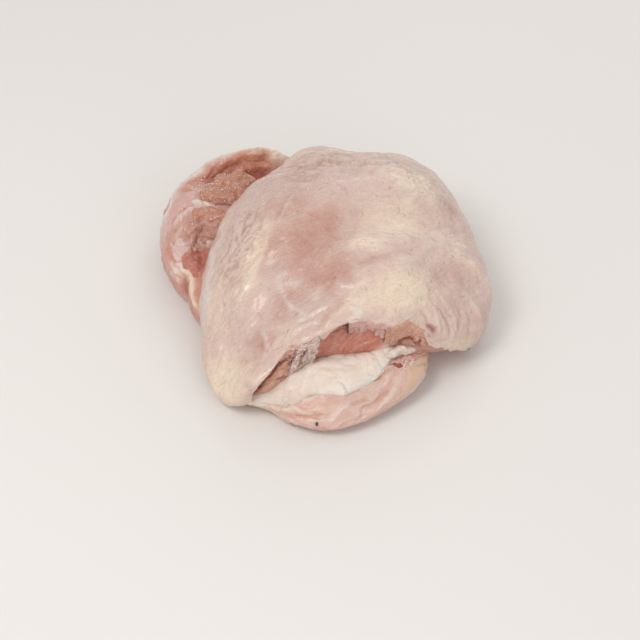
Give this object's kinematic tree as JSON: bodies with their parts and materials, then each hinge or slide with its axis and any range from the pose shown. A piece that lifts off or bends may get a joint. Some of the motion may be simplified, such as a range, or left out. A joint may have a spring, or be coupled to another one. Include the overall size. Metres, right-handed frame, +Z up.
{
  "type": "raw boneless chicken breast",
  "caption": "Raw skin-on boneless chicken breast folded over on itself: skin side up, torn at the front over white fat, flesh side showing at the back left.",
  "frame": {"origin": "middle of the bounding box in plan, on the surface that the meat lies on", "axes": "+Z up; -Y towards the torn side that shows the white fat; +X to the right of someone who faces that side"},
  "size_m": [0.141, 0.1494, 0.0556],
  "materials": {
    "raw_chicken": "moist raw skin, cream to pink, satin with small wet glints"
  },
  "bodies": {
    "root": {"chicken_breast": "raw_chicken"}
  },
  "joints": []
}
